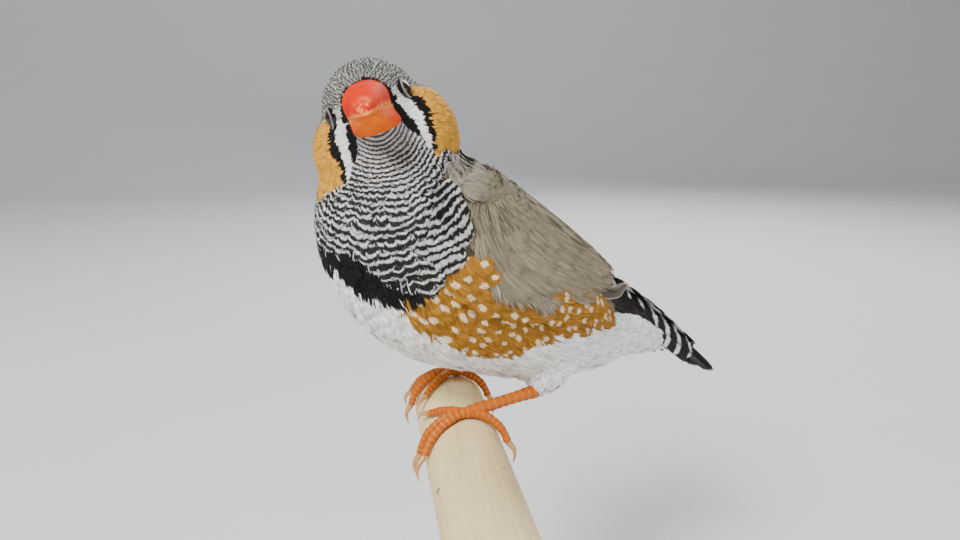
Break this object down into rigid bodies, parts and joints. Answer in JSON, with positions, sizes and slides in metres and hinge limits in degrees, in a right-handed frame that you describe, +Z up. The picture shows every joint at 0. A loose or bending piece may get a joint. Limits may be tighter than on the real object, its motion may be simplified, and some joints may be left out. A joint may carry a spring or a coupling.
{
  "type": "zebra finch",
  "caption": "Life-size cock zebra finch gripping a short wooden perch, head turned to the viewer, on a plain display stand.",
  "frame": {"origin": "on the underside of the stand's base, straight below the point midway between the bird's feet", "axes": "+Z up; +Y along the perch toward its far end; the bird's breast points to -X, turned 23 degrees toward -Y"},
  "size_m": [0.1085, 0.112, 0.1426],
  "materials": {
    "plumage_grey": "soft grey plumage",
    "plumage_barred": "grey plumage with fine black bars",
    "plumage_body": "barred breast, chestnut flanks with white spots, white belly",
    "plumage_white": "soft white plumage",
    "plumage_wing": "grey-brown flight feathers",
    "plumage_tail": "black-brown feathers with white bars on the coverts",
    "bill_red": "waxy red horn",
    "bill_orange": "waxy orange horn",
    "eye": "wet dark red-brown",
    "leg_skin": "scaly orange skin",
    "claw": "pale horn",
    "perch_wood": "bare pale dowel",
    "stand_base": "matt pale paint",
    "stand_rod": "brushed"
  },
  "bodies": {
    "root": {"head": "plumage_grey", "neck": "plumage_barred", "torso": "plumage_body", "rump": "plumage_white", "wing_left": "plumage_wing", "wing_right": "plumage_wing", "tail": "plumage_tail", "thigh_left": "plumage_white", "thigh_right": "plumage_white", "bill_upper": "bill_red", "bill_lower": "bill_orange", "eye_left": "eye", "eye_right": "eye", "foot_left": "leg_skin", "foot_right": "leg_skin", "claw_left_middle": "claw", "claw_left_inner": "claw", "claw_left_outer": "claw", "claw_left_hind": "claw", "claw_right_middle": "claw", "claw_right_inner": "claw", "claw_right_outer": "claw", "claw_right_hind": "claw", "perch": "perch_wood", "stand_base": "stand_base", "stand_rod_front": "stand_rod", "stand_rod_rear": "stand_rod"}
  },
  "joints": []
}
